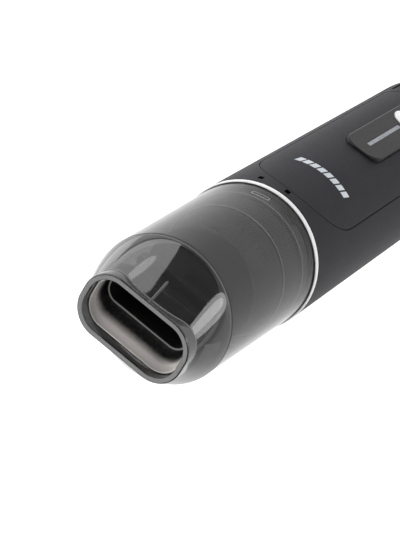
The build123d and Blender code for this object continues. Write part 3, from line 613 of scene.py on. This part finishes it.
def capped(rows, low=None, high=None):
    """Points and triangles of a tube through closed rows, each end closed by a fan about its middle."""
    count, around = rows.shape[:2]
    low = rows[0].mean(axis=0) if low is None else low
    high = rows[-1].mean(axis=0) if high is None else high
    points = np.concatenate((rows.reshape(-1, 3), [low], [high]))
    quads = ring_faces(count, around, closed=False)
    here = np.arange(around)
    beside = (here + 1) % around
    last = (count - 1) * around
    first_fan = np.column_stack((beside, here, np.full(around, count * around)))
    last_fan = np.column_stack((last + here, last + beside, np.full(around, count * around + 1)))
    return points, np.concatenate((quads[:, [0, 1, 2]], quads[:, [0, 2, 3]], first_fan, last_fan))


# --- Insert in the mouth ---------------------------------------------------
# the insert's edge finish is a painted highlight, its bore finish painted shade
DUCT_FINISHES = ["duct_ramp", "duct_edge", "duct_dark", "duct_lip"]
RAMP, EDGE, BORE, LIP = range(4)


def mouth_outline(inset):
    inset += RIM_WALL + SLIP_GAP
    half = (MOUTH_HALF[0] - inset, MOUTH_HALF[1] - inset)
    return rounded_outline(*half, MOUTH_CORNER - inset, MOUTH_OFFSET)


def slot_outline(grow):
    half = (SLOT_HALF[0] + grow, SLOT_HALF[1] + grow)
    return rounded_outline(*half, half[1] - 0.01, SLOT_MIDDLE)


def ramp_row(share, front):
    """Outline and height at a share t of the way from the mouth to the slot.

    The outline goes evenly from the mouth's rounded rectangle to the slot's. The height falls by
    RAMP_DROP t, and by TROUGH_DROP times the logistic curve 1 / (1 + exp(-(t - RAMP_BEND) / RAMP_SPREAD)).
    """
    steep = 1 / (1 + np.exp(-(share - RAMP_BEND) / RAMP_SPREAD))
    outline = mixed(mouth_outline(0.9), slot_outline(SLOT_WALL), share)
    return outline, front - DUCT_EDGE - RAMP_DROP * share - TROUGH_DROP * steep


def add_duct():
    """The insert in the mouth: outlines in order round its closed shell, each with its height and finish.

    A front edge in a painted highlight, the ramp down to a trough darkened by painted shade, the slot's raised
    lip, the slot's bore in painted shade, and back outside.
    """
    front, back, end = MOUTH_Z - DUCT_SETBACK, MOUTH_Z - DUCT_BACK, MOUTH_Z - DUCT_LENGTH
    lip = MOUTH_Z - SLOT_LIP
    rows = [
        (mouth_outline(0), back, RAMP),
        # the front edge's rows take the near-white painted highlight
        (mouth_outline(0), front - DUCT_EDGE, EDGE),
        (mouth_outline(0.12), front - 0.12, EDGE),
        (mouth_outline(0.4), front, EDGE),
        (mouth_outline(0.75), front - 0.1, RAMP),
        (mouth_outline(0.9), front - DUCT_EDGE, RAMP),
    ]
    ramp_start = len(rows) - 1
    rows += [(*ramp_row(share, front), RAMP) for share in np.linspace(0, 1, RAMP_ROWS + 1)[1:]]
    rows += [
        (slot_outline(SLOT_WALL), lip - 0.5, LIP),
        (slot_outline(SLOT_WALL - 0.12), lip - 0.15, LIP),
        (slot_outline(SLOT_WALL / 2 + 0.15), lip, LIP),
        (slot_outline(SLOT_WALL / 2 - 0.15), lip, LIP),
        (slot_outline(0.12), lip - 0.15, RAMP),
        (slot_outline(0), lip - 0.5, RAMP),
    ]
    # the slot's bore in near-black painted shade
    rows += [(slot_outline(0), z, BORE) for z in np.linspace(lip - 1.5, end, 8)]
    rows += [(slot_outline(SLOT_WALL), end, BORE), (slot_outline(SLOT_WALL), back, BORE)]
    points = np.array([np.column_stack((outline, np.full(len(outline), z))) for outline, z, _ in rows])
    around = points.shape[1]
    # painted shade: the tone is 1 on the upper ramp, falls to 0 between 30 and 58 per cent of the way, and
    # stays 0 in the trough and the slot
    share = (np.arange(len(rows)) - ramp_start) / RAMP_ROWS
    tone = np.clip((SHADE_END - share) / SHADE_SPREAD, 0, 1)
    kinds = np.array([kind for _, _, kind in rows])
    piece = put_mesh("inlet_insert", points, ring_faces(len(rows), around), DUCT_FINISHES,
                     np.repeat(kinds, around), 40.0, np.repeat(tone, around))
    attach(piece, "cup")
    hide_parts("inlet_duct")
    add_flap_ears(end)


def add_flap_ears(end):
    """Two lugs for the flap's pin: a rounded outline in the plane across the pin, carried along it."""
    pin_low, pin_high = box("flap_pin")
    axis_y, axis_z = ((pin_low + pin_high) / 2)[1:]
    outer, length, radius = SLOT_HALF[0], 3.0, 1.7
    turn = np.linspace(np.pi, 2 * np.pi, 17)
    foot = SLOT_MIDDLE - SLOT_HALF[1] - SLOT_WALL / 2
    arc = np.column_stack((axis_y + radius * np.cos(turn), axis_z + radius * np.sin(turn)))
    root = [(axis_y + radius, end - 0.02), (foot, end + 0.1), (foot, end + 3.0), (axis_y - radius, end + 3.0)]
    outline = np.concatenate((arc, root))
    for side, name in ((-1, "left"), (1, "right")):
        places = (side * (outer - length), side * outer)
        rows = np.array([np.column_stack((np.full(len(outline), x), outline)) for x in places])
        middles = [(x, axis_y, end) for x in places]
        piece = put_mesh("flap_ear_" + name, *capped(rows, *middles), ["duct_grey"])
        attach(piece, "cup")


# --- Filter's screen -------------------------------------------------------
def add_screen():
    """The filter's woven wire: two families of strands that wind opposite ways up the taper.

    A strand of the family s = +1 or -1 runs at the radius r(z) + 0.8 s w, so that the families cross
    outside and inside each other, and its angle grows evenly with the height. Its section is a square
    on its corner, of half diagonal w.
    """
    low, high = box("filter_screen")
    share = np.linspace(0, 1, SCREEN_STEPS)[None, :]
    radius = high[0] - SCREEN_WIRE - 0.1 - SCREEN_TAPER * share
    start = np.arange(SCREEN_STRANDS)[:, None] * 2 * np.pi / SCREEN_STRANDS
    corner = np.arange(4)[:, None] * np.pi / 2
    count = SCREEN_STEPS * 4
    ends = np.array([[0, 1, 2, 3], [count - 1, count - 2, count - 3, count - 4]])
    strand = np.concatenate((ring_faces(SCREEN_STEPS, 4, closed=False), ends))
    faces = (strand[None] + np.arange(SCREEN_STRANDS)[:, None, None] * count).reshape(-1, 4)
    for sign, name in ((1, "screen_right"), (-1, "screen_left")):
        angle = start + sign * SCREEN_TURN * share
        height = low[2] + (high[2] - low[2]) * share + 0 * angle
        centre = round_axis(radius + sign * SCREEN_WIRE * 0.8, angle, height)
        out = round_axis(1, angle, 0 * angle)
        round_way = round_axis(1, angle + np.pi / 2, 0 * angle)
        section = out[..., None, :] * np.cos(corner) + round_way[..., None, :] * np.sin(corner)
        points = centre[..., None, :] + section * SCREEN_WIRE
        piece = put_mesh(name, points, faces, ["filter_mesh"], sharp=180.0)
        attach(piece, "filter")
        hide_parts("filter_screen")


# --- Printed bars ----------------------------------------------------------
def on_skin(x, z, lift):
    """Points drawn on the body's control side: x is the arc length round from its middle."""
    return round_axis(BODY_RADIUS + lift, x / BODY_RADIUS - np.pi / 2, z)


def grid_slab(grid, start):
    """A grid of corner points (rows, columns, 2) as a thin slab on the skin, its indices from start."""
    rows, columns = grid.shape[:2]
    levels = [on_skin(grid[..., 0], grid[..., 1], lift).reshape(-1, 3) for lift in (-0.05, 0.03)]
    row, column = np.arange(rows - 1)[:, None], np.arange(columns - 1)[None, :]
    base = (row * columns + column).reshape(-1)
    quads = np.column_stack((base, base + 1, base + columns + 1, base + columns))
    edge = np.concatenate((
        np.arange(columns),
        np.arange(1, rows) * columns + columns - 1,
        (rows - 1) * columns + np.arange(columns - 2, -1, -1),
        np.arange(rows - 2, 0, -1) * columns,
    ))
    after = np.roll(edge, -1)
    size = rows * columns
    walls = np.column_stack((edge, after, after + size, edge + size))
    return np.concatenate(levels), np.concatenate((quads[:, ::-1], quads + size, walls)) + start


def slanted_bar(left, right, low, high, slant, columns=8):
    """A bar between two arc lengths and two heights, leaning by slant."""
    x = np.linspace(left, right, columns)[None, :]
    z = np.array([low, high])[:, None]
    return np.stack((x + slant * (z - low) / (high - low), z + 0 * x), axis=-1)


def add_bars():
    """A plain row of eight equal slanted bars printed across the cover."""
    low, high = (JOINT_Z - drop for drop in BAR_DROPS)
    points, faces, start = [], [], 0
    for x in BAR_STARTS:
        slab, slab_faces = grid_slab(slanted_bar(x, x + BAR_WIDTH, low, high, BAR_SLANT), start)
        points.append(slab)
        faces.append(slab_faces)
        start += len(slab)
    piece = put_mesh("cover_print", np.concatenate(points), np.concatenate(faces), ["print_white"])
    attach(piece, "root")


# --- Seal and edges --------------------------------------------------------
def add_seam_ring():
    """The dark seal in the seam: a strip with a bevel at both outer corners."""
    deep, bevel, outer = SEAM_RADIUS - 1.6, SEAM_RADIUS - 0.12, SEAM_RADIUS + 0.02
    low, high = SEAM_Z - 0.95, SEAM_Z - 0.05
    profile = [
        (deep, low), (bevel, low), (outer, low + 0.15),
        (outer, high - 0.15), (bevel, high), (deep, high),
    ]
    piece = add_ring("seam_ring", profile, "seal_rubber", "cup", columns=360)
    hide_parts("seam_seal")


def add_inner_edges():
    """Thin pale beads, a painted highlight seen through the cup: at the spigot's end and on the filter's band.
    """
    spigot = bead_profile(SPIGOT_RADIUS - 0.02, JOINT_Z + SPIGOT_LENGTH, 0.25)
    add_ring("spigot_edge", spigot, "pale_edge", "root")
    band = bead_profile(BAND_RADIUS, box("filter_screen")[0][2], 0.3)
    add_ring("band_edge", band, "pale_edge", "filter")


add_nozzle()
add_screen()
add_key_rib()
add_duct()
add_bars()
add_seam_ring()
add_inner_edges()
add_lug_edges()


# --- Studio ----------------------------------------------------------------
def add_floor():
    """A wide pale sheet that the vacuum stands on; it glows evenly for the camera and in gloss."""
    half = 6.0
    mesh = bpy.data.meshes.new("floor")
    corners = [(-half, -half, 0), (half, -half, 0), (half, half, 0), (-half, half, 0)]
    mesh.from_pydata(corners, [], [(0, 1, 2, 3)])
    sheet = bpy.data.objects.new("floor", mesh)
    bpy.context.collection.objects.link(sheet)
    made = Finish("floor_white", (0.72, 0.72, 0.72), 0.9, Specular_IOR_Level=0.0)
    made.shader.inputs["Emission Color"].default_value = (1, 1, 1, 1)
    path = made.add("ShaderNodeLightPath")
    seen = made.add("ShaderNodeMath", operation="MAXIMUM")
    made.link(path.outputs["Is Camera Ray"], seen.inputs[0])
    made.link(path.outputs["Is Glossy Ray"], seen.inputs[1])
    made.link(made.spread(seen.outputs[0], 0.0, 0.6, 0.0, 1.0), made.shader.inputs["Emission Strength"])
    mesh.materials.append(made.material)


def softbox(name, place, target, width, height, power, shape):
    """A flat lamp at place that faces target; it shows in gloss but not to the camera."""
    lamp = bpy.data.lights.new(name, "AREA")
    lamp.shape = shape
    lamp.size = width
    lamp.size_y = height
    lamp.energy = power
    holder = bpy.data.objects.new(name, lamp)
    way = Vector(target) - Vector(place)
    holder.matrix_world = Matrix.Translation(place) @ way.to_track_quat("-Z", "Y").to_matrix().to_4x4()
    holder.visible_camera = False
    bpy.context.collection.objects.link(holder)


MIDDLE = (0, 0, 0.3)
LAMPS = [
    # name, place, target, width, height, power, shape
    ("side_light", (0.94, -0.34, 0.60), MIDDLE, 1.9, 1.1, 17, "RECTANGLE"),
    ("side_core", (0.70, -0.72, 0.62), MIDDLE, 0.20, 0.22, 0.25, "ELLIPSE"),
    ("strip_light", (-0.78, -0.62, 0.44), MIDDLE, 0.50, 0.9, 4.0, "ELLIPSE"),
    ("strip_core", (-0.77, -0.66, 0.45), MIDDLE, 0.24, 0.62, 1.1, "ELLIPSE"),
    ("fill_light", (-1.15, 0.1, 0.6), MIDDLE, 1.9, 1.0, 4.6, "RECTANGLE"),
    ("top_light", (0.3, 0.65, 1.35), MIDDLE, 0.9, 0.9, 8, "RECTANGLE"),
    ("low_card", (0.50, 0.12, 0.03), (0.0, 0.0, 0.26), 0.5, 0.6, 1.6, "RECTANGLE"),
]
WORLD_STRENGTH = 0.22


def add_studio():
    """A dim white surround and the lamps."""
    world = bpy.data.worlds.new("studio")
    world.use_nodes = True
    background = world.node_tree.nodes["Background"]
    background.inputs["Color"].default_value = (1, 1, 1, 1)
    background.inputs["Strength"].default_value = WORLD_STRENGTH
    bpy.context.scene.world = world
    bpy.context.scene.view_settings.view_transform = "Standard"
    for lamp in LAMPS:
        softbox(*lamp)


add_floor()
add_studio()
